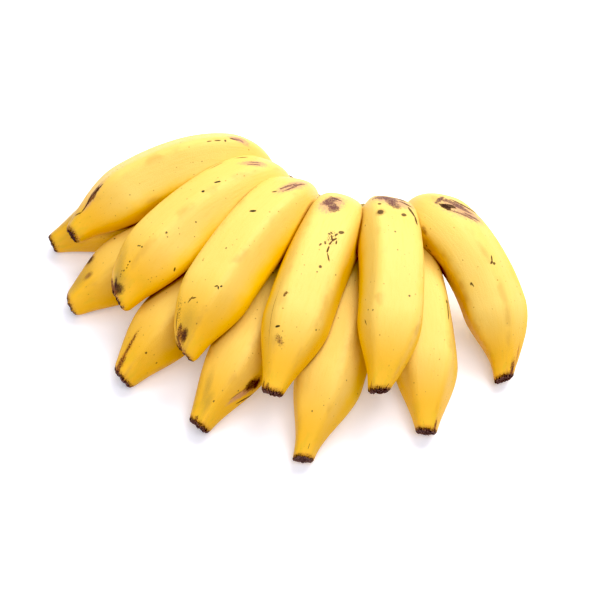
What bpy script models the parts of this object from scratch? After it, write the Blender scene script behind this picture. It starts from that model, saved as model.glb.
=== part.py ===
"""A hand of twelve bananas, joined at the crown and lying with its hollow side down.

Metres, +Z up. The origin is under the middle of the hand, on the surface that it lies on. The tips
point along -Y. It grew as one piece, so it is one object.
"""

import math
from collections import namedtuple

import bmesh
import bpy
import numpy as np

# Sizes below are in millimetres and degrees. A bearing is measured about the middle of the stalk,
# from -Y towards -X.
MM = 0.001

# Fingers: the plump, five-sided fruit. Radii are shares of the body's, and places along a finger
# are shares of its length from the crown.
BODY_RADIUS = 19.4
STALK_RADIUS = 0.38
SWELL = (0.03, 0.28)  # over which the stalk grows into the body
NECK = (0.69, 0.99)  # over which the body narrows to its neck
BLUNT = (0.03, 0.12)  # how far a blunt finger's neck starts and ends beyond that
FACES = 5
FACE_SHARPNESS = 9.0
ANGULAR = (0.05, 0.3)  # over which the round stalk takes the body's faces
ROUNDING = (0.8, 0.95)  # and over which most of them fade towards the neck
NECK_ROUNDNESS = 0.8
SIDES = 15
RINGS = 23
CURVE_STEPS = 400

# Rows: height of the root on the crown, pitch there, and the curve's handles at root and tip
Row = namedtuple("Row", "root_height root_pitch rise run")
ROWS = {
    "upper": Row(26, 64, 58, 60),
    "lower": Row(14, 28, 50, 70),
}

# Each finger's root and tip: where it is, and which way it points there. The ridge angle turns the
# five-sided section from the top towards the finger's right hand, seen from the crown. Bluntness
# is 0 for a finger with a long neck and 1 for one that ends in a short wedge. The neck is the radius
# that it narrows to.
Finger = namedtuple(
    "Finger",
    "row root_bearing root_heading bearing reach height heading pitch girth ridge blunt neck",
)
FINGERS = {
    "lower_1": Finger("lower", 57, 74, 68.1, 216.5, 8, 70, -12, 0.97, 10, 0.6, 0.33),
    "lower_2": Finger("lower", 45, 53, 55.0, 226.5, 8, 58, -14, 1.0, -20, 1.0, 0.37),
    "lower_3": Finger("lower", 32, 39, 39.3, 239.5, 7.5, 38, -14, 1.0, -25, 1.2, 0.385),
    "lower_4": Finger("lower", 19, 24, 25.8, 244.5, 7.5, 29, -14, 1.0, -30, 0.5, 0.355),
    "lower_5": Finger("lower", 6, 4, 10.8, 247.5, 7.5, 16, -14, 0.99, -35, 0.1, 0.315),
    "lower_6": Finger("lower", -6, -14, -6.1, 226.0, 8, 4, -14, 0.97, 32, 0.4, 0.33),
    "upper_1": Finger("upper", 51.5, 75, 61.7, 210.0, 37, 46, -12, 0.97, 0, 0.5, 0.345),
    "upper_2": Finger("upper", 42.5, 47, 45.8, 215.0, 38, 37, -14, 1.0, -14, 1.3, 0.46),
    "upper_3": Finger("upper", 30.5, 26, 31.0, 222.0, 38, 25, -18, 1.0, -19, 1.3, 0.385),
    "upper_4": Finger("upper", 14, 14, 16.2, 229.0, 38, 18, -15, 1.0, -44, 0.3, 0.335),
    "upper_5": Finger("upper", 1.5, -15, 1.0, 218.5, 38, 16, -18, 0.95, 22, 0.6, 0.32),
    "upper_6": Finger("upper", -12, -32, -20.9, 199.0, 7, 4, -22, 0.93, 62, 0.2, 0.315),
}

# Crown: the woody pad, swept about the middle of the stalk
CROWN_RADIUS = 80.0
CROWN_FROM, CROWN_TO = -20.0, 64.0  # bearings of its two ends
CROWN_STEPS = 12
CROWN_TAPER = 0.45  # size of its ends, as a share of the middle's
CROWN_BLUNTNESS = 10  # how late the taper starts
# Its section, as distance from the root circle and height, round from the foot of the cut face
CROWN_SECTION = (
    (-11, 0),
    (10, 0),
    (13, 6),
    (13, 22),
    (11, 31),
    (5, 36),
    (-2, 37),
    (-8, 34),
    (-11, 27),
    (-12, 14),
)

PEEL = (0.95, 0.68, 0.09, 1.0)
PEEL_ROUGHNESS = 0.45
SMOOTH_BELOW = 35.0  # edges that turn less than this are shaded smooth


def smooth_step(value, start, end):
    """0 before start and 1 after end, with an easy slope at both."""
    share = np.clip((value - start) / (end - start), 0.0, 1.0)
    return share * share * (3.0 - 2.0 * share)


def direction(bearing, pitch=0.0):
    """Unit vector that points outwards at this bearing, and up by the pitch."""
    turn, climb = math.radians(bearing), math.radians(pitch)
    flat = math.cos(climb)
    return np.array([-math.sin(turn) * flat, -math.cos(turn) * flat, math.sin(climb)])


def spine_of(finger, shares):
    """Points at these shares of the length of a cubic curve from the crown to the tip."""
    row = ROWS[finger.row]
    lift = np.array([0.0, 0.0, 1.0])
    root = direction(finger.root_bearing) * CROWN_RADIUS + lift * row.root_height
    tip = direction(finger.bearing) * finger.reach + lift * finger.height
    first = root + direction(finger.root_heading, row.root_pitch) * row.rise
    last = tip - direction(finger.heading, finger.pitch) * row.run
    t = np.linspace(0.0, 1.0, CURVE_STEPS)[:, None]
    curve = (1 - t) ** 3 * root + 3 * (1 - t) ** 2 * t * first
    curve += 3 * (1 - t) * t**2 * last + t**3 * tip
    travelled = np.append(0.0, np.cumsum(np.linalg.norm(np.diff(curve, axis=0), axis=1)))
    places = shares * travelled[-1]
    return np.stack([np.interp(places, travelled, curve[:, axis]) for axis in range(3)], axis=1)


def radius_at(share, blunt, neck):
    swell = STALK_RADIUS + (1 - STALK_RADIUS) * smooth_step(share, *SWELL)
    start, end = NECK[0] + BLUNT[0] * blunt, NECK[1] + BLUNT[1] * blunt
    narrowing = smooth_step(share, start, end) / smooth_step(1.0, start, end)
    return BODY_RADIUS * swell * (1 - (1 - neck) * narrowing)


def five_sided(angle):
    """Distance to the outline of a pentagon with rounded corners, one of them at angle 0."""
    faces = np.radians(np.arange(FACES) * 360.0 / FACES + 180.0 / FACES)
    facing = np.clip(np.cos(angle[:, None] - faces), 0.0, None)
    outline = np.power(np.power(facing, FACE_SHARPNESS).sum(axis=1), -1.0 / FACE_SHARPNESS)
    return outline / outline.mean()


def finger_rings(finger):
    """Rings of points round the finger's spine, from the crown to the tip."""
    share = np.linspace(0.0, 1.0, RINGS)
    spine = spine_of(finger, share)
    along = np.gradient(spine, share, axis=0)
    along /= np.linalg.norm(along, axis=1)[:, None]
    side = np.cross(along, (0.0, 0.0, 1.0))
    side /= np.linalg.norm(side, axis=1)[:, None]
    top = np.cross(side, along)
    # The stalk and the neck are nearly round, and the body is five-sided
    angular = smooth_step(share, *ANGULAR) * (1 - NECK_ROUNDNESS * smooth_step(share, *ROUNDING))
    angle = np.linspace(0.0, 2 * math.pi, SIDES, endpoint=False)
    outline = 1 + angular[:, None] * (five_sided(angle) - 1)
    size = (radius_at(share, finger.blunt, finger.neck) * finger.girth)[:, None] * outline
    turned = angle + math.radians(finger.ridge)
    rings = spine[:, None, :] + (size * np.cos(turned))[..., None] * top[:, None, :]
    rings = rings + (size * np.sin(turned))[..., None] * side[:, None, :]
    # What lies on the surface is pressed flat by the hand's weight
    rings[..., 2] = np.maximum(rings[..., 2], 0.0)
    return rings


def crown_rings():
    """The crown's section, repeated from one end of its arc to the other."""
    rings = []
    for step in range(CROWN_STEPS + 1):
        share = step / CROWN_STEPS
        bearing = CROWN_FROM + (CROWN_TO - CROWN_FROM) * share
        near_end = abs(2 * share - 1) ** CROWN_BLUNTNESS
        size = 1 - (1 - CROWN_TAPER) * near_end
        ring = []
        for outwards, height in CROWN_SECTION:
            place = direction(bearing) * (CROWN_RADIUS + outwards * size)
            ring.append(place + np.array([0.0, 0.0, height * size]))
        rings.append(ring)
    return np.array(rings)


def loft(name, rings):
    """A closed solid through the rings, with flat ends, as an object."""
    shape = bmesh.new()
    rows = [[shape.verts.new(point * MM) for point in ring] for ring in rings]
    for row, following in zip(rows, rows[1:]):
        for index in range(len(row)):
            after = (index + 1) % len(row)
            shape.faces.new((row[index], row[after], following[after], following[index]))
    shape.faces.new(rows[0][::-1])
    shape.faces.new(rows[-1])
    bmesh.ops.triangulate(shape, faces=shape.faces)
    bmesh.ops.recalc_face_normals(shape, faces=shape.faces)
    mesh = bpy.data.meshes.new(name)
    shape.to_mesh(mesh)
    shape.free()
    return bpy.data.objects.new(name, mesh)


def join(target, others):
    """Fuses a collection's objects into the target and removes them."""
    fuse = target.modifiers.new("fuse", "BOOLEAN")
    fuse.operation = "UNION"
    fuse.operand_type = "COLLECTION"
    fuse.collection = others
    fuse.solver = "EXACT"
    bpy.context.view_layer.update()
    graph = bpy.context.evaluated_depsgraph_get()
    fused = bpy.data.meshes.new_from_object(target.evaluated_get(graph))
    target.modifiers.clear()
    target.data = fused
    for other in list(others.objects):
        bpy.data.objects.remove(other)
    bpy.data.collections.remove(others)


def centre_on_box(target):
    """Moves the mesh so that the origin is under the middle of its box."""
    points = np.array([vertex.co for vertex in target.data.vertices])
    low, high = points.min(axis=0), points.max(axis=0)
    middle = (low + high) / 2
    for vertex in target.data.vertices:
        vertex.co.x -= middle[0]
        vertex.co.y -= middle[1]
        vertex.co.z -= low[2]


def peel_material():
    peel = bpy.data.materials.new("peel")
    peel.use_nodes = True
    shader = peel.node_tree.nodes["Principled BSDF"]
    shader.inputs["Base Color"].default_value = PEEL
    shader.inputs["Roughness"].default_value = PEEL_ROUGHNESS
    shader.inputs["Metallic"].default_value = 0.0
    return peel


def main():
    for existing in list(bpy.data.objects):
        bpy.data.objects.remove(existing)
    part = bpy.data.collections.new("banana_hand")
    bpy.context.scene.collection.children.link(part)
    fingers = bpy.data.collections.new("fingers")
    bpy.context.scene.collection.children.link(fingers)

    hand = loft("banana_hand", crown_rings())
    part.objects.link(hand)
    for name, finger in FINGERS.items():
        fingers.objects.link(loft(name, finger_rings(finger)))
    join(hand, fingers)
    centre_on_box(hand)
    hand.data.materials.append(peel_material())
    hand.data.shade_smooth()
    hand.data.set_sharp_from_angle(angle=math.radians(SMOOTH_BELOW))


main()
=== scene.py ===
"""A hand of twelve ripe bananas on a white table: fine surfaces, finishes, light and camera.

Finer skins, one for each finger and one for the crown, take the place of the plain solid. They
follow its curves, from the same numbers.
"""

import math
from collections import namedtuple

import bmesh
import bpy
import numpy as np
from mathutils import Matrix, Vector


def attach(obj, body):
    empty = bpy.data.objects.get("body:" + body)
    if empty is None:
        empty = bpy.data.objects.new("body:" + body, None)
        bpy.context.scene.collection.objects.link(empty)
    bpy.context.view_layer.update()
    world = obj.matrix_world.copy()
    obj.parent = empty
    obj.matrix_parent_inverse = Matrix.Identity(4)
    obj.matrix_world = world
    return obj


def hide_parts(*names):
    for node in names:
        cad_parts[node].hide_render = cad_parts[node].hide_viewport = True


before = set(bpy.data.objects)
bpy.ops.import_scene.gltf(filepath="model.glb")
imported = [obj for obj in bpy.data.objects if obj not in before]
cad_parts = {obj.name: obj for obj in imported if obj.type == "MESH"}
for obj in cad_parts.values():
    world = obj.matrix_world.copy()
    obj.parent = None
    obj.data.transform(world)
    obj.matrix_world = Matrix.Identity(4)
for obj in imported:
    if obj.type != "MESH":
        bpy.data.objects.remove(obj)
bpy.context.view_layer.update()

# Lengths are in millimetres and angles in degrees, unless a comment says otherwise
MM = 0.001

# The fan of fingers, as the solid has it. A bearing is measured about the middle of the stalk,
# from -Y towards -X. Spans along a finger are shares of its length from the crown.
FAN_CENTRE = np.array([58.87, 138.98, 0.0])
BODY_RADIUS = 19.4
STALK_RADIUS = 0.38  # as a share of the body's
SWELL = (0.03, 0.28)  # where the stalk grows into the body
NECK = (0.69, 0.99)  # where the body narrows to its neck
BLUNT = (0.03, 0.12)  # how much later that starts and ends on a blunt finger
FACES = 5
ANGULAR = (0.05, 0.3)  # where the round stalk takes on the body's faces
CURVE_STEPS = 600

# The two rows: height and pitch of a finger's root, and the curve's handles at root and tip
Row = namedtuple("Row", "root_height root_pitch rise run")
ROWS = {
    "upper": Row(26, 64, 58, 60),
    "lower": Row(14, 28, 50, 70),
}

# Each finger: bearing and heading of its root, then bearing, reach, height, heading and pitch of
# its tip. The girth is a share of the body's radius, and the neck's radius a share of the girth.
# The ridge angle turns the section from the top to the finger's right hand, seen from the crown.
Finger = namedtuple(
    "Finger",
    "row root_bearing root_heading bearing reach height heading pitch girth ridge blunt neck",
)
FINGERS = {
    "lower_1": Finger("lower", 57, 74, 68.1, 216.5, 8, 70, -12, 0.97, 10, 0.6, 0.33),
    "lower_2": Finger("lower", 45, 53, 55.0, 226.5, 8, 58, -14, 1.0, -20, 1.0, 0.37),
    "lower_3": Finger("lower", 32, 39, 39.3, 239.5, 7.5, 38, -14, 1.0, -25, 1.2, 0.385),
    "lower_4": Finger("lower", 19, 24, 25.8, 244.5, 7.5, 29, -14, 1.0, -30, 0.5, 0.355),
    "lower_5": Finger("lower", 6, 4, 10.8, 247.5, 7.5, 16, -14, 0.99, -35, 0.1, 0.315),
    "lower_6": Finger("lower", -6, -14, -6.1, 226.0, 8, 4, -14, 0.97, 32, 0.4, 0.33),
    "upper_1": Finger("upper", 51.5, 75, 61.7, 210.0, 37, 46, -12, 0.97, 0, 0.5, 0.345),
    "upper_2": Finger("upper", 42.5, 47, 45.8, 215.0, 38, 37, -14, 1.0, -14, 1.3, 0.46),
    "upper_3": Finger("upper", 30.5, 26, 31.0, 222.0, 38, 25, -18, 1.0, -19, 1.3, 0.385),
    "upper_4": Finger("upper", 14, 14, 16.2, 229.0, 38, 18, -15, 1.0, -44, 0.3, 0.335),
    "upper_5": Finger("upper", 1.5, -15, 1.0, 218.5, 38, 16, -18, 0.95, 22, 0.6, 0.32),
    "upper_6": Finger("upper", -12, -32, -20.9, 199.0, 7, 4, -22, 0.93, 62, 0.2, 0.315),
}

# The crown, swept about the middle of the stalk. Its section is given as distance from the root
# circle and height, round from the foot of the cut face.
CROWN_RADIUS = 80.0
CROWN_FROM, CROWN_TO = -20.0, 64.0
CROWN_STEPS = 36
CROWN_TAPER = 0.45  # size of its ends, as a share of its middle's
CROWN_BLUNTNESS = 10
CROWN_SECTION = (
    (-11, 0),
    (10, 0),
    (13, 6),
    (13, 22),
    (11, 31),
    (5, 36),
    (-2, 37),
    (-8, 34),
    (-11, 27),
    (-12, 14),
)

# The fine skin of a finger
SIDES = 104
BODY_RINGS = 130
END_RINGS = 36
END_FROM = 0.92  # where the closer rings of the dried end start, as a share of the length
FIRST_SEED = 11
SHARPNESS = 7.5  # of the ridges between the faces
ROUNDING = (0.8, 0.97)  # where most of the faces fade towards the neck
NECK_ROUNDNESS = 0.55
FACE_TURN = 5.0  # that a face may be off its even place
FACE_REACH = 0.02  # and the share of the radius that it may be nearer or further out
SIXTH_FACE = {"upper_6": -10.0}  # round from the top, a narrow face in place of a ridge
SIXTH_REACH = 1.05
TWIST = 4.0  # that the ridges wander along a finger
TWIST_BENDS = (3.0, 5.0)
TWIST_STARTS = (0.0, 6.0)
LUMPS = 0.009  # unevenness of the surface, as a share of the radius
LUMP_WAVES = 16
LUMP_TURNS = 5
LUMP_BENDS = (1.0, 9.0)
LUMP_STRENGTH = (0.4, 1.0)
TURN_FADE, BEND_FADE = 0.25, 0.12
LUMPS_SUM = 2.0  # of waves, that counts as 1
RIDGE_WIDTH = 8.0  # either side of a ridge where the peel is rubbed
PAINTED_LIGHT_TURN = (-0.15, 0.9)  # cosines of the turn from the top over which painted light makes the peel paler
PATTERN_SPREAD = 900.0  # how far out a finger may lie in the peel's patterns
FAR_OFF = 100.0  # stands for a tip or a rim that a piece doesn't have

# The dried flower end, torn across and along its rim and on its face
RIM = 2.5  # before the end over which it is torn
TORN_ACROSS, TORN_ALONG, TORN_FACE = 0.3, 0.5, 0.35
ACROSS_PASSES, ALONG_PASSES, FACE_PASSES = 3, 5, 2  # that even out those tears
TORN_SPREAD, TORN_LIMIT = 2.2, 1.3  # standard deviations that count as 1, and the most kept
TURNED_OVER = 12.0  # before the end over which a finger turns towards its end face
ROUNDED_OVER = 4.0  # and over which its end is rounded off
# The end's face, from the rim to the middle: share of the radius, and how far it stands out
END_FACE = (
    (0.93, 0.3),
    (0.82, 0.45),
    (0.68, 0.1),
    (0.54, -0.4),
    (0.40, -0.4),
    (0.27, 0.1),
    (0.16, 0.6),
    (0.07, 0.8),
)

# How the fingers' ends differ: how far the face is turned to the finger's right hand and down, the
# share of the radius that is rounded off, how much longer the finger is, how far the dried crust
# reaches up its side, and how grey its face is, from 0 to 1
Tip = namedtuple("Tip", "turn droop rounding longer crust grey")
TIPS = {
    "lower_1": Tip(0, 0, 0.16, 0.0, 0.6, 0.3),
    "lower_2": Tip(16, 4, 0.26, 0.3, 0.7, 0.3),
    "lower_3": Tip(16, 10, 0.22, 0.5, 1.4, 0.2),
    "lower_4": Tip(12, 10, 0.12, 0.0, 1.5, 0.2),
    "lower_5": Tip(-9, 2, 0.06, 0.0, 0.2, 1.0),
    "lower_6": Tip(3, 9, 0.12, 0.0, 1.0, 0.5),
    "upper_1": Tip(6, -6, 0.30, 0.0, 0.0, 0.3),
    "upper_2": Tip(28, 4, 0.34, 0.6, 0.2, 0.4),
    "upper_3": Tip(28, 8, 0.30, 0.0, 0.2, 0.4),
    "upper_4": Tip(2, 14, 0.16, 0.0, 1.6, 0.3),
    "upper_5": Tip(-16, 9, 0.14, 0.0, 1.2, 0.1),
    "upper_6": Tip(-22, -4, 0.20, 0.0, 1.2, 0.1),
}

# The skin of the crown and the first stretch of each stalk
STUB_TO = 0.17  # how far down the fingers it reaches, as a share of their length
STUB_RINGS = 18
STUB_SIDES = 24
STUB_SUNK_FROM, STUB_SUNK = 0.1, 0.86  # where it runs in under a finger's skin, and how thin
STUB_STOUT_TO, STUB_STOUTER = 0.08, 0.3  # where it is stouter, near the crown, and how much
VOXEL = 1.25
EASING, EASING_PASSES = 0.5, 14
DOWN_STEPS = 40
CUT_FACE = (-10.4, -9.0)  # distances from the root circle over which the cut face ends
CUT_FACING = (0.2, 0.7)  # how squarely the skin faces the stalk there
CUT_BACK = 10.0  # how far inside the root circle the skin meets the cut face
CUT_TOP = 29.0  # height of the cut face in the middle of the crown
CUT_FOOT = 1.0  # how far below the table its lower rim is taken to lie
CUT_RELIEF, SKIN_RELIEF = 0.5, 0.8
BARE_CROWN = (0.01, 0.06)  # shares of a finger's length over which that relief fades
RELIEF_SEED = 77
RELIEF_WAVES = 40
RELIEF_BENDS = (0.15, 1.1)  # radians to a millimetre
RELIEF_STARTS = (0.0, 6.3)
RELIEF_SUM = 6.0
# heights over which painted light makes the crown paler towards its top
PAINTED_LIGHT_HEIGHT = (15.0, 45.0)

# Colours of the peel
RIPE = (0.79, 0.49, 0.016)
DEEP = (0.77, 0.40, 0.004)
# pale peel, in random patches and as painted light on the tops
PALE_AND_PAINTED_LIGHT = (0.78, 0.54, 0.13)
STALK_GREEN = (0.59, 0.48, 0.098)
# deep orange along fibres, and towards the neck, where it is partly the peel's own colour and
# partly painted shade
NECK_DEEP_AND_SHADE = (0.75, 0.38, 0.006)
GREENISH = (0.49, 0.37, 0.016)
RUBBED = (0.45, 0.22, 0.041)
SPECK = (0.049, 0.021, 0.003)
FAINT_SPECK = (0.30, 0.14, 0.012)
# painted shade, laid in the narrow gaps between fingers
PAINTED_GAP_SHADE = (0.24, 0.040, 0.004)

# Colours of the dried crust, the crown's wood and its cut face
CRUST = (0.010, 0.002, 0.002)
CRUST_RED = (0.075, 0.013, 0.010)
CRUST_STAIN = (0.33, 0.070, 0.013)
CRUST_GREY = (0.12, 0.070, 0.068)
CRUST_PALE = (0.43, 0.22, 0.17)
WOOD = (0.14, 0.070, 0.023)
CUT_PALE = (0.46, 0.31, 0.14)
CUT = (0.25, 0.14, 0.053)
CUT_DARK = (0.045, 0.021, 0.010)

# Random patterns: how close together, to a millimetre, the levels of finer detail, and the share
# of its strength that each level keeps
Pattern = namedtuple("Pattern", "scale detail roughness", defaults=(0.5,))
BROAD = Pattern(0.035, 2.0)
PATCH = Pattern(0.11, 3.0)
FIBRE = Pattern(0.9, 3.0)
PORE = Pattern(1.6, 3.0, 0.6)
TEAR = Pattern(0.75, 4.0, 0.65)
WEAR = Pattern(0.08, 3.0)
FLAKE = Pattern(1.1, 3.0, 0.6)
GRAIN = Pattern(0.7, 4.0, 0.65)
BUNDLE_SCALE = 0.42
FIBRE_STRETCH = (1.0, 1.0, 0.13)
GRAIN_STRETCH = (1.0, 1.0, 0.3)

# Where each colour lies. A value that goes from the first number to the second covers from none
# to all of the peel, or from the third number to the fourth.
DEEPER = (0.35, 0.7, 0.0, 0.5)
# paleness, from random patches and from the painted light on top
PALER_WITH_PAINTED_LIGHT = (0.1, 1.0)
PALE_PATCHES = 0.5
FIBROUS = (0.45, 0.75, 0.0, 0.13)
# towards the neck: partly the peel's own deeper colour and partly painted shade
NECK_TONE_AND_SHADE = (0.68, 0.93, 0.0, 0.85)  # these three along a finger
STALK = (0.17, 0.03, 0.0, 0.8)
BEYOND_STALK = (0.18, 0.3)
BEFORE_TIP = (22.0, 4.0)
GREEN_PATCHES = (0.42, 0.68, 0.0, 0.35)
WORN = (0.48, 0.68, 0.03, 0.4)
PAINTED_SHADE_SPAN = (0.58, 0.18, 0.0, 0.85)  # openness of a gap, over which the painted shade is laid
WOOD_PATCHES, WOOD_TEARS = 16.0, 6.0  # that the edge of the wood wanders
WOODY = (-10.0, -1.0, 0.0, 0.95)  # outside the cut face's rim
PALE_GRAIN = (0.40, 0.62)
BUNDLES = (0.24, 0.10, 0.0, 0.75)
DRY_RIM = (6.5, 0.5, 0.0, 0.9)  # inside the cut face's rim
CRUST_TEARS, CRUST_FLAKES = 5.0, 7.0  # that the edge of the crust wanders
STAINED = (2.6, 0.0, 0.0, 0.55)  # before the crust
DRIED = (0.3, -0.3)  # across the crust's edge
RED_FLAKES = (0.42, 0.56)
PALE_FLAKES = (0.52, 0.58, 0.0, 0.75)
ON_FACE = (-0.2, -1.2)  # inwards from the rim of the dried end
GREY_PORES = (0.35, 0.55)
LEAST_GREY = 0.2  # of a tip's grey, where it is weakest

# Specks, faint ones close together and darker ones further apart, each in the middle of a cell:
# how many cells to a millimetre, the widest speck as a share of its cell, colour and cover
Specks = namedtuple("Specks", "scale widest colour cover")
SPECKS = (
    Specks(0.36, 0.17, FAINT_SPECK, 0.7),
    Specks(0.12, 0.085, SPECK, 0.9),
)
SPECK_CHANCE = (0.38, 0.78)
SPECK_EDGE = (0.03, -0.03)
CROWDED = (0.38, 0.62, 0.35, 1.0)

# The surface. The gap's reach and the heights of the relief are in metres.
SATIN = (0.3, 0.7, 0.40, 0.50)
WOOD_ROUGHNESS = 0.8
CRUST_ROUGHNESS = 0.85
SPECULAR = 0.24
GAP_REACH = 0.0036
GAP_SAMPLES = 8
FINE_RELIEF = 0.0002
FIBRE_HEIGHT = 0.8  # as a share of the pores'
ROUGH_RELIEF = 0.0012

# Kinds of mark: its colour, how much it covers, how soft and how ragged its edge is (as shares of
# its size), how mottled it is inside, its roughness, and how fine the mottling's flecks are cut
Kind = namedtuple(
    "Kind", "colour cover softness raggedness mottle roughness flecks", defaults=((0.35, 0.6),)
)
KINDS = {
    "scar": Kind((0.098, 0.025, 0.002), 0.98, 0.30, 1.3, 0.35, 0.75),
    "rim": Kind((0.029, 0.007, 0.002), 0.95, 0.30, 1.2, 0.1, 0.8),
    "line": Kind((0.060, 0.020, 0.003), 1.0, 0.36, 1.0, 0.15, 0.7),
    "bruise": Kind((0.098, 0.025, 0.030), 0.95, 0.60, 1.6, 0.5, 0.6),
    "pink": Kind((0.44, 0.20, 0.16), 0.80, 0.90, 1.5, 0.5, 0.55),
    "dot": Kind((0.070, 0.032, 0.006), 0.95, 0.45, 0.8, 0.1, 0.6),
    "dash": Kind((0.020, 0.013, 0.002), 1.0, 0.26, 0.8, 0.0, 0.6),
    "smudge": Kind((0.22, 0.074, 0.018), 0.75, 1.10, 1.0, 0.4, 0.5),
    "green": Kind((0.31, 0.19, 0.037), 0.50, 1.60, 0.9, 0.3, 0.5),
    "blotch": Kind((0.029, 0.004, 0.007), 0.97, 0.90, 1.3, 0.2, 0.7),
    "scab": Kind((0.078, 0.016, 0.010), 0.95, 0.40, 2.4, 0.9, 0.85, (0.42, 0.50)),
    "stain": Kind((0.41, 0.12, 0.011), 0.80, 0.80, 1.6, 0.5, 0.6),
    "strip": Kind((0.27, 0.12, 0.021), 0.85, 0.80, 1.4, 0.6, 0.6),
    "specks": Kind((0.074, 0.021, 0.005), 0.90, 0.90, 1.5, 1.0, 0.6, (0.53, 0.59)),
}

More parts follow.
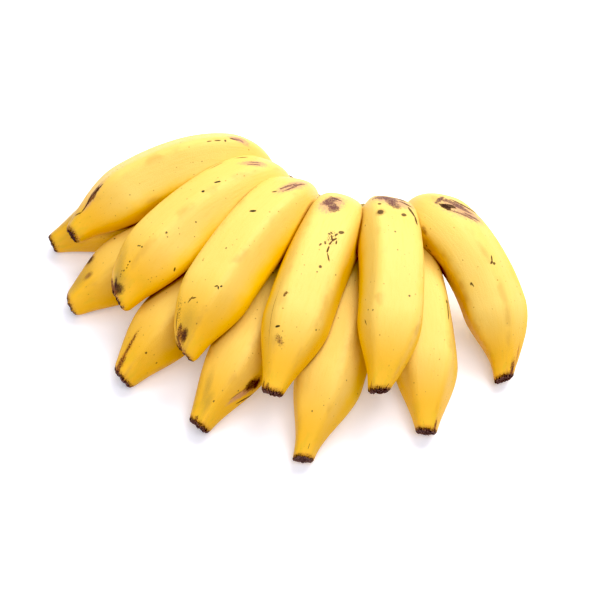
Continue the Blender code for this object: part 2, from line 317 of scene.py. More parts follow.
# Marks on the peel: the kind, how far along from the crown, the angle round from the top to the
# finger's right hand, its length and width, and the angle, if any, that its length is turned from
# across towards along the finger. A size across is as on the body, and less on the neck.
Mark = namedtuple("Mark", "kind along around length width turn", defaults=(0,))
MARKS = {
    "upper_1": (
        Mark("pink", 125, 7, 19, 5.6, 100),
        Mark("scar", 125, 8, 12, 5.4, 100),
        Mark("rim", 121, 6, 9, 1.3, 84),
        Mark("rim", 130, 7, 9, 1.4, 105),
        Mark("line", 134, 4, 7, 1.3, 87),
        Mark("line", 139, 17, 9, 1.4, 24),
        Mark("line", 43, -1, 5, 1.6, -109),
        Mark("line", 41, -2, 4, 1.2, -130),
        Mark("dot", 47.4, -5, 1.6, 1.0),
        Mark("line", 51.0, -4, 3, 0.8, -90),
        Mark("line", 54.6, -4, 2.4, 0.7, -90),
        Mark("pink", 41, 1, 10, 4, -130),
        Mark("green", 142, 40, 14, 8, 90),
    ),
    "upper_2": (
        Mark("pink", 44.4, 5, 13, 5.5, -142),
        Mark("bruise", 43.5, 8, 6.5, 1.0, -143),
        Mark("bruise", 45, 0, 6.5, 1.0, -135),
        Mark("strip", 58.3, 47, 8, 1.1, -93),
        Mark("line", 44.3, 39, 6.5, 1.0, -125),
        Mark("dash", 66.2, -1, 3.6, 1.4, -129),
        Mark("dash", 75.3, -1, 2.0, 1.6),
        Mark("dot", 89.5, -37, 1.2, 0.9),
        Mark("dash", 121.8, 1, 1.3, 1.0),
        Mark("dash", 121.9, 7, 1.2, 0.9),
        Mark("dash", 122.3, 11, 1.2, 1.0),
        Mark("dash", 132.4, 6, 1.5, 1.1),
        Mark("dash", 134.5, 6, 1.1, 0.9),
        Mark("dash", 136.3, 4, 1.2, 0.9),
        Mark("dash", 138.4, 8, 1.5, 1.1),
        Mark("dash", 140.9, 11, 1.4, 1.0),
        Mark("dash", 142.1, 9, 1.1, 0.9),
        Mark("dash", 139.0, 14, 1.0, 0.8),
        Mark("line", 117.9, -72, 2.6, 1.0, 120),
        Mark("green", 137, 33, 25, 9, 120),
        Mark("green", 145, 14, 13, 10, 100),
        Mark("green", 146, 2, 18, 9, 10),
        Mark("blotch", 147.8, -4, 15, 5.6, 10),
        Mark("blotch", 146.5, 14, 8.0, 3.0, 150),
        Mark("stain", 150, 32, 24, 5.0, 170),
        Mark("scab", 150.2, 30, 22, 4.4, 170),
    ),
    "upper_3": (
        Mark("pink", 46, -8, 17, 7.0, -115),
        Mark("bruise", 47.5, -2, 9, 1.8, -122),
        Mark("bruise", 43.5, -14, 8, 1.4, -115),
        Mark("bruise", 49, -10, 8, 1.1, -115),
        Mark("dot", 54, 8, 3.0, 1.3, -150),
        Mark("dash", 70.9, 12, 4.2, 1.6, -161),
        Mark("dash", 120.3, -16, 2.2, 0.8, -137),
        Mark("dash", 120.5, -20, 2.0, 0.8, -60),
        Mark("dash", 119.0, -23, 1.5, 0.9, -120),
        Mark("line", 132, 22, 4.6, 0.9, -120),
        Mark("line", 130.6, 15, 3.4, 0.9, -160),
        Mark("specks", 138.8, 44, 14, 4.0, 99),
        Mark("line", 146, 47, 10, 0.9, 95),
        Mark("green", 146, 8, 20, 14, 105),
        Mark("stain", 152, 20, 9, 16.0, 90),
        Mark("blotch", 151, 6, 7, 8.0, 80),
        Mark("scab", 151.5, 28, 11, 7.0, 95),
        Mark("scab", 156.5, 18, 20, 3.0, 165),
    ),
    "upper_4": (
        Mark("pink", 48, 4, 17, 11.0, -126),
        Mark("bruise", 46, 9, 11, 4.6, -126),
        Mark("bruise", 49.5, 3, 7.0, 5.6, 160),
        Mark("bruise", 51.5, -4, 7.0, 4.0, -150),
        Mark("bruise", 43, 3, 8.0, 1.6, 175),
        Mark("dot", 64.7, -32, 3.4, 2.0, 30),
        Mark("dot", 67.3, -26, 2.6, 1.2, -120),
        Mark("line", 67.3, -17, 2.4, 0.9, 160),
        Mark("dot", 68.3, -14, 1.8, 1.2),
        Mark("line", 70.2, -21, 3.8, 1.0, -60),
        Mark("line", 70.6, -26, 3.4, 1.2, -130),
        Mark("line", 71.9, -31, 2.4, 1.0, 100),
        Mark("line", 73.5, -22, 2.6, 1.1, -100),
        Mark("specks", 70.5, -21, 9, 6.0, 100),
        Mark("dot", 74.5, -13, 2.2, 1.2, 120),
        Mark("dot", 76.5, -6, 2.0, 1.2, 60),
        Mark("line", 77.8, -22, 4.4, 1.2, 92),
        Mark("line", 82.1, -27, 5.4, 0.9, 122),
        Mark("dot", 89.3, -20, 2.0, 1.8, 40),
        Mark("scar", 111.3, 20, 3.6, 1.7, -104),
        Mark("dash", 130.1, 19, 3.2, 1.2, -160),
        Mark("smudge", 137, 10, 6.0, 3.0, 150),
        Mark("specks", 137, 10, 8.0, 5.0, 150),
        Mark("strip", 124, 40, 34, 0.8, 90),
        Mark("scab", 161.5, 52, 7, 6.0, 92),
        Mark("scab", 162, 20, 5, 5.0, 92),
    ),
    "upper_5": (
        Mark("pink", 42, -14, 23, 10.0, 170),
        Mark("bruise", 39, 5, 11.0, 5.0, -160),
        Mark("bruise", 41, -8, 11.0, 5.0, 170),
        Mark("bruise", 45.6, -12, 9.0, 6.0, 150),
        Mark("dot", 46.5, 14, 2.0, 1.6),
        Mark("bruise", 38, -22, 10.0, 3.0, -170),
        Mark("rim", 38, -34, 5.0, 2.6, 150),
        Mark("line", 43, -38, 8.0, 1.4, 150),
        Mark("smudge", 53, 16, 5.0, 4.0, 20),
        Mark("dot", 53, 16, 3.6, 3.0, 20),
        Mark("dot", 53, -28, 3.6, 2.4, 20),
        Mark("line", 49, -44, 8.0, 1.6, 110),
        Mark("line", 55, -49, 7.0, 1.3, 95),
        Mark("line", 118.5, 55, 4.4, 0.8, 119),
        Mark("dot", 112.1, 46, 1.1, 0.9),
        Mark("dot", 113.7, 32, 1.1, 0.9),
        Mark("smudge", 153, 40, 4.0, 3.0, 95),
        Mark("dot", 153.6, 43, 1.8, 1.4, 85),
        Mark("dot", 152.7, -45, 1.6, 1.2, 85),
    ),
    "upper_6": (
        Mark("pink", 47, -30, 25, 12.0, 141),
        Mark("bruise", 42, -26, 15, 3.4, 141),
        Mark("bruise", 46.5, -33, 13, 3.0, 143),
        Mark("bruise", 52, -38, 12, 2.0, 145),
        Mark("bruise", 50.3, -21, 17, 1.4, 139),
        Mark("rim", 42.3, -1, 6.0, 3.4, 113),
        Mark("rim", 43, -9, 8.0, 2.8, 150),
        Mark("line", 45, -52, 18, 2.0, 141),
        Mark("bruise", 37.5, -8, 10, 2.0, -170),
        Mark("line", 76, -15, 3.6, 1.2, 60),
        Mark("line", 78, -10, 2.8, 1.2, 20),
        Mark("dot", 79, -15, 2.2, 1.6),
        Mark("dot", 84, 45, 1.8, 1.2, 70),
        Mark("line", 85, 43, 3.0, 0.7, 100),
        Mark("line", 50, 98, 4.0, 0.9, 100),
        Mark("dot", 47, 92, 1.6, 1.2),
        Mark("smudge", 43, 62, 5.0, 2.6, 60),
        Mark("stain", 131, -64, 12, 3.0, 100),
        Mark("stain", 140, -50, 14, 10.0, 112),
        Mark("scab", 140.5, -50, 12, 8.0, 110),
        Mark("blotch", 141, -52, 6, 2.4, 120),
    ),
    "lower_1": (
        Mark("green", 128, 20, 26, 12, 90),
    ),
    "lower_2": (
        Mark("smudge", 129, 44, 8.0, 6.5, 110),
        Mark("blotch", 129, 45, 5.4, 4.4, 110),
        Mark("smudge", 135.3, 9, 6.5, 5.5, 60),
        Mark("smudge", 135.3, 9, 4.0, 3.5, 60),
        Mark("green", 142, 30, 20, 16, 90),
        Mark("stain", 146, 66, 14, 12.0, 85),
        Mark("scab", 147, 68, 12, 8.0, 85),
    ),
    "lower_3": (
        Mark("stain", 152, 20, 23, 5.0, 88),
        Mark("scab", 150, 20, 18, 2.6, 87),
        Mark("stain", 160, 18, 12, 10.0, 105),
        Mark("scab", 160, 17, 10, 8.0, 105),
        Mark("dot", 147.2, -31, 1.6, 1.3),
        Mark("dot", 163.7, -48, 1.6, 1.3),
        Mark("line", 150, 62, 20, 1.0, 90),
    ),
    "lower_4": (
        Mark("pink", 142, -76, 19, 4.8, -113),
        Mark("stain", 133.5, -80, 13, 8.5, -100),
        Mark("blotch", 134, -78, 9.5, 6.4, -103),
        Mark("blotch", 131.5, -86, 7.0, 3.2, -60),
        Mark("smudge", 144, -66, 10, 1.2, -113),
        Mark("line", 141, -97, 16, 1.4, -116),
        Mark("green", 157, -8, 12, 7.0, 105),
        Mark("green", 150, 14, 18, 6, 100),
        Mark("dot", 155, -22, 1.6, 1.3),
        Mark("stain", 162, 84, 14, 9.0, 92),
        Mark("scab", 163, 86, 12, 7.0, 92),
        Mark("scab", 168, 5, 5, 6.0, 95),
    ),
    "lower_5": (
        Mark("dot", 147, 4, 1.3, 1.1),
        Mark("line", 166, -20, 4, 0.8, 90),
    ),
    "lower_6": (
        Mark("line", 82, -45, 13, 1.1, 84),
        Mark("dot", 77, -44, 2.2, 1.3, 90),
        Mark("stain", 147.5, -46, 7, 6.0, 85),
        Mark("scab", 147.5, -48, 5, 5.0, 85),
    ),
}

# The view: the camera looks down at the hand along +Y. From here on, lengths are in metres.
TARGET = Vector((10.87, 2.98, 20.0)) * MM
DISTANCE = 1.2
ELEVATION = 50.0
LENS, SENSOR = 120.96, 36.0  # millimetres
TABLE_SIZE = 6.0
TABLE_WHITE = (0.845, 0.850, 0.94)
TABLE_ROUGHNESS = 0.9
TABLE_GLOW = 0.22  # the table glows a little, so that shadows on it stay light
GLOW_WHITE = (0.97, 0.945, 0.985)
SKY = 0.26
SKY_WHITE = (1.0, 1.0, 1.0, 1.0)
BLACK_POINT = 0.018  # light weaker than this shows as black
# Softboxes, with their power in watts
Softbox = namedtuple("Softbox", "place width height power colour")
LIGHTS = {
    "overhead": Softbox((0.45, 0.45, 1.2), 0.8, 0.8, 13.0, (1.0, 1.0, 0.98)),
    "behind": Softbox((0.3, 0.95, 1.0), 1.8, 0.5, 14.5, (1.0, 1.0, 0.98)),
    "front": Softbox((0.4, -0.85, 1.55), 1.0, 1.0, 15.8, (1.0, 1.0, 1.0)),
    "left": Softbox((-1.0, -0.55, 0.55), 0.9, 0.7, 5.2, (1.0, 1.0, 1.0)),
}


def smooth_step(value, start, end):
    """0 before start and 1 after end, with an easy slope at both."""
    share = np.clip((value - start) / (end - start), 0.0, 1.0)
    return share * share * (3.0 - 2.0 * share)


def direction(bearing, pitch=0.0):
    """Unit vector that points outwards at this bearing, and up by the pitch."""
    turn, climb = math.radians(bearing), math.radians(pitch)
    flat = math.cos(climb)
    return np.array([-math.sin(turn) * flat, -math.cos(turn) * flat, math.sin(climb)])


def spine_of(finger, shares):
    """Points at these shares of the length of the finger's curve, and that length."""
    row = ROWS[finger.row]
    lift = np.array([0.0, 0.0, 1.0])
    root = direction(finger.root_bearing) * CROWN_RADIUS + lift * row.root_height
    tip = direction(finger.bearing) * finger.reach + lift * finger.height
    first = root + direction(finger.root_heading, row.root_pitch) * row.rise
    last = tip - direction(finger.heading, finger.pitch) * row.run
    t = np.linspace(0.0, 1.0, CURVE_STEPS)[:, None]
    curve = (1 - t) ** 3 * root + 3 * (1 - t) ** 2 * t * first
    curve += 3 * (1 - t) * t**2 * last + t**3 * tip
    travelled = np.append(0.0, np.cumsum(np.linalg.norm(np.diff(curve, axis=0), axis=1)))
    places = shares * travelled[-1]
    spine = np.stack([np.interp(places, travelled, curve[:, axis]) for axis in range(3)], axis=1)
    return spine, travelled[-1]


def axes_along(spine, share):
    """The directions along, to the right of and on top of the curve at each of its points."""
    along = np.gradient(spine, share, axis=0)
    along /= np.linalg.norm(along, axis=1)[:, None]
    side = np.cross(along, (0.0, 0.0, 1.0))
    side /= np.linalg.norm(side, axis=1)[:, None]
    return along, side, np.cross(side, along)


def radius_at(share, finger):
    """The finger's radius there, without its faces and lumps."""
    swell = STALK_RADIUS + (1 - STALK_RADIUS) * smooth_step(share, *SWELL)
    start, end = NECK[0] + BLUNT[0] * finger.blunt, NECK[1] + BLUNT[1] * finger.blunt
    narrowing = smooth_step(share, start, end) / smooth_step(1.0, start, end)
    return BODY_RADIUS * swell * (1 - (1 - finger.neck) * narrowing) * finger.girth


def rings_round(middle, side, top, size, around):
    """Rings of points at these distances from their middles, round from the top."""
    rings = middle + (size * np.cos(around))[..., None] * top[:, None, :]
    return rings + (size * np.sin(around))[..., None] * side[:, None, :]


def on_the_table(points):
    """Presses flat what would lie below the table, under the hand's weight."""
    points[:, 2] = np.maximum(points[:, 2], 0.0)
    return points


def uneven(rng, share, around):
    """Long, low waves over a finger, between about -1 and 1."""
    waves = np.zeros((len(share), len(around)))
    for _ in range(LUMP_WAVES):
        turns = rng.integers(0, LUMP_TURNS)
        bends = rng.uniform(*LUMP_BENDS)
        phase, start = rng.uniform(0.0, 2 * math.pi, 2)
        strength = rng.uniform(*LUMP_STRENGTH) / (1.0 + TURN_FADE * turns + BEND_FADE * bends)
        down = np.cos(bends * share * math.pi + start)[:, None]
        waves += strength * np.cos(turns * around + phase) * down
    return waves / LUMPS_SUM


def ragged(rng, rows, columns, passes):
    """Random heights, evened out a little with their neighbours, between about -1 and 1."""
    heights = rng.normal(size=(rows, columns))
    for _ in range(passes):
        beside = np.roll(heights, 1, axis=1) + np.roll(heights, -1, axis=1)
        padded = np.pad(heights, ((1, 1), (0, 0)), mode="edge")
        heights = (2 * heights + beside + padded[:-2] + padded[2:]) / 6.0
    return np.clip(heights / (TORN_SPREAD * heights.std()), -TORN_LIMIT, TORN_LIMIT)


def five_sided(around, facing, reach):
    """Distance to the outline of an uneven pentagon with rounded corners, for each angle."""
    towards = np.clip(np.cos(around[..., None] - facing), 0.0, None) / reach
    outline = np.power(np.power(towards, SHARPNESS).sum(axis=-1), -1.0 / SHARPNESS)
    return outline / outline.mean()


def faced_body(rng, name, finger, share, around):
    """A finger's radius at each place, and how near that is to a ridge, from 0 to 1."""
    even = np.arange(FACES) * 2 * math.pi / FACES + math.pi / FACES
    turns = np.radians(rng.uniform(-FACE_TURN, FACE_TURN, FACES))
    facing = even + math.radians(finger.ridge) + turns
    reach = 1 + rng.uniform(-FACE_REACH, FACE_REACH, FACES)
    ridges = facing + math.pi / FACES
    if name in SIXTH_FACE:
        facing = np.append(facing, math.radians(SIXTH_FACE[name]))
        reach = np.append(reach, SIXTH_REACH)
    wander = np.sin(share * rng.uniform(*TWIST_BENDS) + rng.uniform(*TWIST_STARTS))
    turned = around[None, :] - (math.radians(TWIST) * wander)[:, None]
    flatness = smooth_step(share, *ANGULAR) * (1 - NECK_ROUNDNESS * smooth_step(share, *ROUNDING))
    outline = 1 + flatness[:, None] * (five_sided(turned, facing, reach) - 1)
    size = radius_at(share, finger)[:, None] * outline
    size *= 1 + LUMPS * uneven(rng, share, around)

    apart = turned[..., None] - ridges
    apart = np.degrees(np.abs((apart + math.pi) % (2 * math.pi) - math.pi)).min(axis=-1)
    nearness = np.exp(-((apart / RIDGE_WIDTH) ** 2)) * smooth_step(share, *ANGULAR)[:, None]
    return size, nearness


def finger_rings(rng, finger, tip, share, size, around):
    """The rings of a finger's skin, the points that close it, and the rings' places along it."""
    spine, length = spine_of(finger, share)
    along, side, top = axes_along(spine, share)

    # Towards its end the finger turns, and its rim is rounded off and torn
    to_tip = (1 - share) * length
    near_end = np.clip(1 - to_tip / ROUNDED_OVER, 0.0, 1.0)
    rounded = 1 - tip.rounding * (1 - np.sqrt(1 - near_end**2))
    rim = 1 - smooth_step(to_tip, 0.0, RIM)[:, None]
    torn = TORN_ACROSS * rim * ragged(rng, len(share), SIDES, ACROSS_PASSES)
    size = size * rounded[:, None] + torn
    ahead = tip.longer - math.tan(math.radians(tip.turn)) * size * np.sin(around)
    ahead = ahead + math.tan(math.radians(tip.droop)) * size * np.cos(around)
    ahead = ahead * (1 - smooth_step(to_tip, 0.0, TURNED_OVER))[:, None]
    ahead = ahead + TORN_ALONG * rim * ragged(rng, 1, SIDES, ALONG_PASSES)
    middle = spine[:, None, :] + ahead[..., None] * along[:, None, :]
    rings = rings_round(middle, side, top, size, around)

    # The face of the dried end, sunk round a stub of the old flower
    end = spine[-1] + tip.longer * along[-1]
    rough_face = ragged(rng, len(END_FACE), SIDES, FACE_PASSES)
    face = []
    for (part, out), rough in zip(END_FACE, rough_face):
        ring = end + (rings[-1] - end) * part
        face.append(ring + (out + TORN_FACE * rough)[:, None] * along[-1])
    parts = np.array([part for part, _ in END_FACE])
    inwards = -size.mean(axis=1)[-1] * (1 - parts)
    poles = np.array([spine[0], end + END_FACE[-1][1] * along[-1]])
    return np.concatenate([rings, np.array(face)]), poles, length, np.append(to_tip, inwards)


def wrapped_faces(rows):
    """The faces of a closed skin of rings, and the ring and column of each of their corners."""
    last = (rows - 1) * SIDES
    root, pole = rows * SIDES, rows * SIDES + 1
    faces, places = [], []
    for row in range(rows - 1):
        here, there = row * SIDES, (row + 1) * SIDES
        for column in range(SIDES):
            after = (column + 1) % SIDES
            faces.append((here + column, here + after, there + after, there + column))
            places += [(row, column), (row, column + 1), (row + 1, column + 1), (row + 1, column)]
    for column in range(SIDES):
        after = (column + 1) % SIDES
        faces.append((after, column, root))
        places += [(0, column + 1), (0, column), (0, column)]
        faces.append((last + column, last + after, pole))
        places += [(rows - 1, column), (rows - 1, column + 1), (rows - 1, column)]
    return faces, np.array(places)


def new_object(name, points, faces, material):
    mesh = bpy.data.meshes.new(name)
    mesh.from_pydata(points.tolist(), [], faces)
    mesh.shade_smooth()
    mesh.materials.append(material)
    thing = bpy.data.objects.new(name, mesh)
    bpy.context.scene.collection.objects.link(thing)
    return thing


def store(mesh, **kept):
    """Keeps numbers or vectors for the vertices, for the material."""
    for name, values in kept.items():
        vector = values.ndim == 2
        layer = mesh.attributes.new(name, "FLOAT_VECTOR" if vector else "FLOAT", "POINT")
        values = values.astype(np.float32).ravel()
        layer.data.foreach_set("vector" if vector else "value", values)


def finger_piece(name, finger, seed, material):
    """The fine skin of one finger, from its stalk inside the crown to its dried flower end."""
    rng = np.random.default_rng(seed)
    body = np.linspace(0.0, END_FROM, BODY_RINGS, endpoint=False)
    share = np.append(body, np.linspace(END_FROM, 1.0, END_RINGS))
    around = np.linspace(-math.pi, math.pi, SIDES, endpoint=False)
    size, ridge = faced_body(rng, name, finger, share, around)
    rings, poles, length, to_tip = finger_rings(rng, finger, TIPS[name], share, size, around)
    rows = len(rings)
    points = on_the_table(np.concatenate([rings.reshape(-1, 3), poles]))
    faces, places = wrapped_faces(rows)
    piece = new_object("finger_" + name, (points + FAN_CENTRE) * MM, faces, material)

    # The peel laid out flat, in metres: across from the top line, and along from the crown
    radius = BODY_RADIUS * finger.girth
    travelled = length - to_tip
    step = 2 * math.pi / SIDES
    across = (places[:, 1] * step - math.pi) * radius * MM
    down = travelled[places[:, 0]] * MM
    layer = piece.data.uv_layers.new(name="peel")
    layer.data.foreach_set("uv", np.stack([across, down], axis=1).astype(np.float32).ravel())

    # The same place on a straightened finger has no seam, and gives each finger its own pattern
    turn = np.tile(around, rows)
    reached = np.repeat(travelled, SIDES)
    straight = np.stack([np.cos(turn) * radius, np.sin(turn) * radius, reached], axis=1)
    straight = np.concatenate([straight, [(0.0, 0.0, 0.0), (0.0, 0.0, travelled[-1])]])
    straight = straight + rng.uniform(-PATTERN_SPREAD, PATTERN_SPREAD, 3)

    # What the material asks about each point, where the last two are those that close the skin
    share = np.repeat(np.append(share, np.ones(len(END_FACE))), SIDES)
    # painted light: paler towards the top of each finger
    paleness = smooth_step(np.cos(turn), *PAINTED_LIGHT_TURN)
    store(
        piece.data,
        straight=straight,
        share=np.append(share, (0.0, 1.0)),
        to_tip=np.append(np.repeat(to_tip, SIDES), (length, to_tip[-1])),
        pale=np.append(paleness, (0.0, 0.0)),
        ridge=np.append(ridge.ravel(), np.zeros(len(points) - ridge.size)),
        cut=np.zeros(len(points)),
        from_rim=np.full(len(points), -FAR_OFF),
    )
    return piece


def crown_size(part):
    """Size of the crown's section at this part of its arc, as a share of its middle's."""
    return 1 - (1 - CROWN_TAPER) * abs(2 * part - 1) ** CROWN_BLUNTNESS


def crown_rings():
    """The crown's section, repeated from one end of its arc to the other."""
    rings = []
    for step in range(CROWN_STEPS + 1):
        part = step / CROWN_STEPS
        bearing = CROWN_FROM + (CROWN_TO - CROWN_FROM) * part
        size = crown_size(part)
        ring = []
        for outwards, height in CROWN_SECTION:
            place = direction(bearing) * (CROWN_RADIUS + outwards * size)
            ring.append(place + np.array([0.0, 0.0, height * size]))
        rings.append(ring)
    return np.array(rings)


def stub_rings(finger):
    """The first stretch of a finger, a little stouter at the crown and sunk at its other end."""
    share = np.linspace(0.0, STUB_TO, STUB_RINGS)
    spine, _ = spine_of(finger, share)
    _, side, top = axes_along(spine, share)
    sunk = 1 - (1 - STUB_SUNK) * smooth_step(share, STUB_SUNK_FROM, STUB_TO)
    stout = 1 + STUB_STOUTER * (1 - smooth_step(share, 0.0, STUB_STOUT_TO))
    size = (radius_at(share, finger) * sunk * stout)[:, None]
    around = np.linspace(0.0, 2 * math.pi, STUB_SIDES, endpoint=False)
    return rings_round(spine[:, None, :], side, top, size, around)


def tube(shape, rings):
    """Adds a closed tube through the rings to a bmesh."""
    rows = [[shape.verts.new(point) for point in ring] for ring in rings]
    for row, following in zip(rows, rows[1:]):
        for index in range(len(row)):
            after = (index + 1) % len(row)
            shape.faces.new((row[index], row[after], following[after], following[index]))
    shape.faces.new(rows[0][::-1])
    shape.faces.new(rows[-1])


def grown_together():
    """A mesh of the crown and the fingers' stalks in one skin, with eased corners."""
    shape = bmesh.new()
    tube(shape, crown_rings())
    for finger in FINGERS.values():
        tube(shape, stub_rings(finger))
    bmesh.ops.recalc_face_normals(shape, faces=shape.faces)
    rough = bpy.data.meshes.new("crown")
    shape.to_mesh(rough)
    shape.free()
    cage = bpy.data.objects.new("crown", rough)
    bpy.context.scene.collection.objects.link(cage)
    remesh = cage.modifiers.new("skin", "REMESH")
    remesh.mode = "VOXEL"
    remesh.voxel_size = VOXEL
    ease = cage.modifiers.new("ease", "SMOOTH")
    ease.factor = EASING
    ease.iterations = EASING_PASSES
    bpy.context.view_layer.update()
    graph = bpy.context.evaluated_depsgraph_get()
    skin = bpy.data.meshes.new_from_object(cage.evaluated_get(graph))
    bpy.data.objects.remove(cage)
    return skin


def of_each_vertex(mesh, name):
    """Each vertex's vector of this name."""
    values = np.zeros(len(mesh.vertices) * 3)
    mesh.vertices.foreach_get(name, values)
    return values.reshape(-1, 3)


def down_the_fingers(points):
    """How far down the nearest finger each point lies, as a share of its length."""
    steps = np.linspace(0.0, STUB_TO, DOWN_STEPS)
    nearest = np.full(len(points), np.inf)
    share = np.zeros(len(points))
    for finger in FINGERS.values():
        spine, _ = spine_of(finger, steps)
        for place, here in zip(spine, steps):
            distance = np.linalg.norm(points - place, axis=1)
            closer = distance < nearest
            nearest[closer] = distance[closer]
            share[closer] = here
    return share


def relief_at(points):
    """Waves in all directions through the crown, between about -1 and 1."""
    rng = np.random.default_rng(RELIEF_SEED)
    relief = np.zeros(len(points))
    for _ in range(RELIEF_WAVES):
        wave = rng.normal(size=3) * rng.uniform(*RELIEF_BENDS)
        relief += np.cos(points @ wave + rng.uniform(*RELIEF_STARTS)) / RELIEF_SUM
    return relief


def from_cut_rim(points, outwards, cut):
    """How far inside the cut face's rim each point lies, or how far outside it when negative."""
    bearing = np.degrees(np.arctan2(-points[:, 0], -points[:, 1]))
    part = np.clip((bearing - CROWN_FROM) / (CROWN_TO - CROWN_FROM), 0.0, 1.0)
    from_ends = np.minimum(part, 1 - part) * math.radians(CROWN_TO - CROWN_FROM) * CROWN_RADIUS
    from_top = CUT_TOP * crown_size(part) - points[:, 2]
    inside = np.minimum(np.minimum(from_top, points[:, 2] + CUT_FOOT), from_ends)
    outside = np.minimum(-outwards - CUT_BACK, 0.0)
    return np.where(cut > 0.5, np.maximum(inside, 0.0), outside)


def crown_piece(material):
    """The woody crown and the fingers' stalks, with the face where the hand was cut off."""
    skin = grown_together()
    points = of_each_vertex(skin, "co")
    normals = of_each_vertex(skin, "normal")
    outwards = np.hypot(points[:, 0], points[:, 1]) - CROWN_RADIUS
    inwards = -(points[:, 0] * normals[:, 0] + points[:, 1] * normals[:, 1])
    inwards /= outwards + CROWN_RADIUS
    cut = (1 - smooth_step(outwards, *CUT_FACE)) * smooth_step(inwards, *CUT_FACING)
    share = down_the_fingers(points)
    bare = (1 - cut) * (1 - smooth_step(share, *BARE_CROWN))
    lifted = relief_at(points) * (CUT_RELIEF * cut + SKIN_RELIEF * bare)
    points = on_the_table(points + normals * lifted[:, None])

    faces = [tuple(face.vertices) for face in skin.polygons]
    piece = new_object("crown_and_stalks", (points + FAN_CENTRE) * MM, faces, material)
    bpy.data.meshes.remove(skin)
    store(
        piece.data,
        straight=points,
        share=share,
        to_tip=np.full(len(points), FAR_OFF),
        # painted light: paler towards the top of the crown
        pale=smooth_step(points[:, 2], *PAINTED_LIGHT_HEIGHT),
        ridge=np.zeros(len(points)),
        cut=cut,
        from_rim=from_cut_rim(points, outwards, cut),
    )
    piece.data.uv_layers.new(name="peel")
    return piece


class Graph:
    """A material's nodes, added one call at a time."""

    def __init__(self, name):
        self.material = bpy.data.materials.new(name)
        self.material.use_nodes = True
        self.nodes = self.material.node_tree.nodes
        self.links = self.material.node_tree.links
        self.shader = self.nodes["Principled BSDF"]

    def feed(self, socket, value):
        if isinstance(value, bpy.types.NodeSocket):
            self.links.new(value, socket)
        elif socket.type == "RGBA":
            socket.default_value = (*value, 1.0)
        else:
            socket.default_value = value

    def read(self, name, output="Fac"):
        node = self.nodes.new("ShaderNodeAttribute")
        node.attribute_name = name
        return node.outputs[output]

    def math(self, operation, first, second=0.0, third=0.0):
        node = self.nodes.new("ShaderNodeMath")
        node.operation = operation
        for socket, value in zip(node.inputs, (first, second, third)):
            self.feed(socket, value)
        return node.outputs[0]

    def times(self, first, second):
        return self.math("MULTIPLY", first, second)

    def add_scaled(self, value, factor, base):
        """The base plus the value times the factor."""
        return self.math("MULTIPLY_ADD", value, factor, base)

    def centred(self, value):
        """A pattern's 0 to 1 as -0.5 to 0.5."""
        return self.math("SUBTRACT", value, 0.5)

    def scaled(self, vector, scale):
        node = self.nodes.new("ShaderNodeVectorMath")
        node.operation = "MULTIPLY"
        self.feed(node.inputs[0], vector)
        self.feed(node.inputs[1], scale)
        return node.outputs[0]

    def noise(self, vector, pattern):
        node = self.nodes.new("ShaderNodeTexNoise")
        for name, value in zip(("Vector", "Scale", "Detail", "Roughness"), (vector, *pattern)):
            self.feed(node.inputs[name], value)
        return node.outputs["Fac"]

    def cells(self, vector, scale):
        """Distance to the middle of a random cell, and that cell's own random colour."""
        node = self.nodes.new("ShaderNodeTexVoronoi")
        self.feed(node.inputs["Vector"], vector)
        self.feed(node.inputs["Scale"], scale)
        return node.outputs["Distance"], node.outputs["Color"]

    def span(self, value, low, high, to_low=0.0, to_high=1.0):
        """The value spread from low..high to to_low..to_high, easing at both ends."""
        node = self.nodes.new("ShaderNodeMapRange")
        node.interpolation_type = "SMOOTHSTEP"
        for socket, number in zip(node.inputs, (value, low, high, to_low, to_high)):
            self.feed(socket, number)
        return node.outputs[0]

    def mix(self, factor, first, second, kind="RGBA"):
        """The first colour covered by the second, or numbers when the kind is FLOAT."""
        node = self.nodes.new("ShaderNodeMix")
        node.data_type = kind
        inputs = [socket for socket in node.inputs if socket.enabled]
        for socket, value in zip(inputs, (factor, first, second)):
            self.feed(socket, value)
        return next(socket for socket in node.outputs if socket.enabled)

    def openness(self, reach):
        """1 in the open, and less where another surface is nearer than the reach, in metres."""
        node = self.nodes.new("ShaderNodeAmbientOcclusion")
        node.samples = GAP_SAMPLES
        self.feed(node.inputs["Distance"], reach)
        return node.outputs["AO"]

    def bump(self, height, distance, before=None):
        node = self.nodes.new("ShaderNodeBump")
        self.feed(node.inputs["Height"], height)
        self.feed(node.inputs["Distance"], distance)
        if before is not None:
            self.feed(node.inputs["Normal"], before)
        return node.outputs[0]


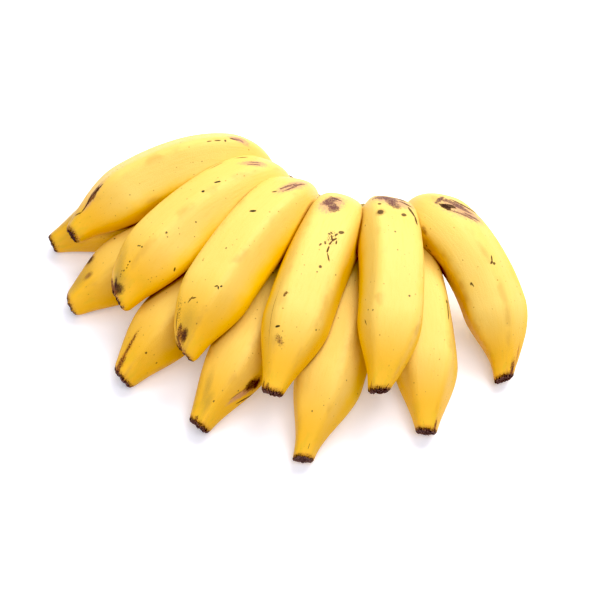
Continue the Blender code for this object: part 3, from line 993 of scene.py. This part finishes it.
class Peel(Graph):
    """The peel's material, where each layer covers the ones before it."""

    def __init__(self, name):
        super().__init__(name)
        self.straight = self.read("straight", "Vector")
        self.share = self.read("share")
        self.to_tip = self.read("to_tip")
        self.cut = self.read("cut")
        self.patch = self.noise(self.straight, PATCH)
        self.pores = self.noise(self.straight, PORE)
        self.fibres = self.noise(self.scaled(self.straight, FIBRE_STRETCH), FIBRE)
        self.grain = self.noise(self.scaled(self.straight, GRAIN_STRETCH), GRAIN)
        self.tear = self.centred(self.noise(self.straight, TEAR))
        self.colour = RIPE
        self.roughness = self.span(self.pores, *SATIN)

    def cover(self, share, colour, roughness=None):
        """Lays a colour over that share of the peel, and a roughness where one is given."""
        self.colour = self.mix(share, self.colour, colour)
        if roughness is not None:
            self.roughness = self.mix(share, self.roughness, roughness, "FLOAT")

    def ripen_and_paint_light(self):
        """Paler in random patches, and paler on top as painted light so that the flanks stay
        deeper; deeper in broad patches, and towards the neck, partly its own colour and partly
        painted shade.
        """
        self.cover(self.span(self.noise(self.straight, BROAD), *DEEPER), DEEP)
        # painted light: paler on top, with random pale patches
        paleness = self.add_scaled(self.centred(self.patch), PALE_PATCHES, self.read("pale"))
        self.cover(self.span(paleness, *PALER_WITH_PAINTED_LIGHT), PALE_AND_PAINTED_LIGHT)
        self.cover(self.span(self.fibres, *FIBROUS), NECK_DEEP_AND_SHADE)
        # partly painted shade, where the necks turn from the light
        self.cover(self.span(self.share, *NECK_TONE_AND_SHADE), NECK_DEEP_AND_SHADE)
        patches = self.span(self.patch, *GREEN_PATCHES)
        self.cover(self.times(self.span(self.to_tip, *BEFORE_TIP), patches), GREENISH)
        self.cover(self.span(self.share, *STALK), STALK_GREEN)
        worn = self.span(self.noise(self.straight, WEAR), *WORN)
        self.cover(self.times(self.read("ridge"), worn), RUBBED)

    def add_specks(self):
        crowded = self.span(self.patch, *CROWDED)
        for specks in SPECKS:
            near, chance = self.cells(self.straight, specks.scale)
            wide = self.times(self.span(chance, *SPECK_CHANCE, 0.0, specks.widest), crowded)
            within = self.math("SUBTRACT", near, wide)
            self.cover(self.span(within, *SPECK_EDGE, 0.0, specks.cover), specks.colour)

    def add_mark(self, mark, girth):
        kind = KINDS[mark.kind]
        node = self.nodes.new("ShaderNodeMapping")
        node.vector_type = "TEXTURE"
        across = math.radians(mark.around) * BODY_RADIUS * girth
        self.feed(node.inputs["Vector"], self.read("peel", "Vector"))
        node.inputs["Location"].default_value = (across * MM, mark.along * MM, 0)
        node.inputs["Rotation"].default_value = (0, 0, math.radians(mark.turn))
        node.inputs["Scale"].default_value = (mark.length / 2 * MM, mark.width / 2 * MM, 1)
        reach = self.nodes.new("ShaderNodeVectorMath")
        reach.operation = "LENGTH"
        self.feed(reach.inputs[0], node.outputs[0])
        torn = self.add_scaled(self.tear, kind.raggedness, reach.outputs["Value"])
        edge = self.span(torn, 1 + kind.softness / 2, 1 - kind.softness / 2)
        flecks = self.span(self.pores, *kind.flecks, 1 - kind.mottle, 1.0)
        self.cover(self.times(self.times(edge, kind.cover), flecks), kind.colour, kind.roughness)

    def paint_gap_shade(self):
        """Painted shade: dark red in the narrow gaps where fingers press together, beyond their
        stalks.
        """
        painted_shade = self.span(self.openness(GAP_REACH), *PAINTED_SHADE_SPAN)
        self.cover(self.times(painted_shade, self.span(self.share, *BEYOND_STALK)), PAINTED_GAP_SHADE)

    def dry_crown(self):
        """Wood that dries brown, and the face where the hand was cut off."""
        edge = self.add_scaled(self.centred(self.patch), WOOD_PATCHES, self.read("from_rim"))
        edge = self.add_scaled(self.tear, WOOD_TEARS, edge)
        wood = self.span(edge, *WOODY)
        self.cover(wood, WOOD)
        sawn = self.mix(self.span(self.grain, *PALE_GRAIN), CUT, CUT_PALE)
        bundle, _ = self.cells(self.straight, BUNDLE_SCALE)
        sawn = self.mix(self.span(bundle, *BUNDLES), sawn, CUT_DARK)
        sawn = self.mix(self.span(edge, *DRY_RIM), sawn, CUT_DARK)
        self.cover(self.cut, sawn)
        woody = self.math("MAXIMUM", wood, self.cut)
        self.roughness = self.mix(woody, self.roughness, WOOD_ROUGHNESS, "FLOAT")
        return woody

    def dry_end(self, reach, grey):
        """A torn crust with a darker rim, and greyer and paler flakes on its face."""
        edge = self.math("SUBTRACT", self.to_tip, reach)
        edge = self.add_scaled(self.tear, CRUST_TEARS, edge)
        self.cover(self.span(edge, *STAINED), CRUST_STAIN)
        flakes = self.noise(self.straight, FLAKE)
        dried = self.span(self.add_scaled(self.centred(flakes), CRUST_FLAKES, edge), *DRIED)
        crust = self.mix(self.span(flakes, *RED_FLAKES), CRUST, CRUST_RED)
        greyness = self.span(self.pores, *GREY_PORES, LEAST_GREY * grey, grey)
        greyness = self.times(self.span(self.to_tip, *ON_FACE), greyness)
        crust = self.mix(greyness, crust, CRUST_GREY)
        crust = self.mix(self.span(flakes, *PALE_FLAKES), crust, CRUST_PALE)
        self.cover(dried, crust, CRUST_ROUGHNESS)
        return dried

    def finish(self, rough):
        """Joins the layers to the shader, with a coarse relief where the skin is rough."""
        self.feed(self.shader.inputs["Base Color"], self.colour)
        self.feed(self.shader.inputs["Roughness"], self.roughness)
        self.feed(self.shader.inputs["Specular IOR Level"], SPECULAR)
        fine = self.bump(self.add_scaled(self.fibres, FIBRE_HEIGHT, self.pores), FINE_RELIEF)
        coarse = self.bump(self.times(rough, self.grain), ROUGH_RELIEF, fine)
        self.feed(self.shader.inputs["Normal"], coarse)
        return self.material


def peel_material(name, marks=(), girth=1.0, crust=0.0, grey=0.0):
    """Peel with its marks, and with the crust that far up from the end of the finger."""
    peel = Peel(name)
    peel.ripen_and_paint_light()
    peel.add_specks()
    for mark in marks:
        peel.add_mark(mark, girth)
    peel.paint_gap_shade()
    woody = peel.dry_crown()
    dried = peel.dry_end(crust, grey)
    return peel.finish(peel.math("MAXIMUM", dried, woody))


def settle(piece):
    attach(piece, "root")
    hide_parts("banana_hand")


def dress():
    """Puts the fine skins in the place of the solid."""
    for number, (name, finger) in enumerate(FINGERS.items()):
        tip = TIPS[name]
        material = peel_material("peel_" + name, MARKS[name], finger.girth, tip.crust, tip.grey)
        settle(finger_piece(name, finger, FIRST_SEED + number, material))
    settle(crown_piece(peel_material("peel_crown")))


def place_camera():
    data = bpy.data.cameras.new("camera")
    data.lens = LENS
    data.sensor_width = SENSOR
    camera = bpy.data.objects.new("camera", data)
    bpy.context.scene.collection.objects.link(camera)
    tilt = math.radians(ELEVATION)
    back = Vector((0.0, -math.cos(tilt), math.sin(tilt)))
    camera.location = TARGET + back * DISTANCE
    camera.rotation_euler = (-back).to_track_quat("-Z", "Y").to_euler()
    bpy.context.scene.camera = camera


def area_light(name, softbox):
    data = bpy.data.lights.new(name, "AREA")
    data.shape = "RECTANGLE"
    data.size = softbox.width
    data.size_y = softbox.height
    data.energy = softbox.power
    data.color = softbox.colour
    light = bpy.data.objects.new(name, data)
    light.location = softbox.place
    light.rotation_euler = (TARGET - Vector(softbox.place)).to_track_quat("-Z", "Y").to_euler()
    bpy.context.scene.collection.objects.link(light)


def set_table():
    graph = Graph("table_white")
    graph.feed(graph.shader.inputs["Base Color"], TABLE_WHITE)
    graph.feed(graph.shader.inputs["Roughness"], TABLE_ROUGHNESS)
    graph.feed(graph.shader.inputs["Emission Color"], GLOW_WHITE)
    graph.feed(graph.shader.inputs["Emission Strength"], TABLE_GLOW)
    half = TABLE_SIZE / 2
    corners = np.array([(-half, -half, 0), (half, -half, 0), (half, half, 0), (-half, half, 0)])
    table = new_object("table", corners, [(0, 1, 2, 3)], graph.material)


def set_light():
    world = bpy.data.worlds.new("studio")
    world.use_nodes = True
    background = world.node_tree.nodes["Background"]
    background.inputs["Color"].default_value = SKY_WHITE
    background.inputs["Strength"].default_value = SKY
    bpy.context.scene.world = world
    for name, light in LIGHTS.items():
        area_light(name, light)
    view = bpy.context.scene.view_settings
    view.view_transform = "Standard"
    view.use_curve_mapping = True
    view.curve_mapping.black_level = (BLACK_POINT, BLACK_POINT, BLACK_POINT)


dress()
set_table()
set_light()
place_camera()
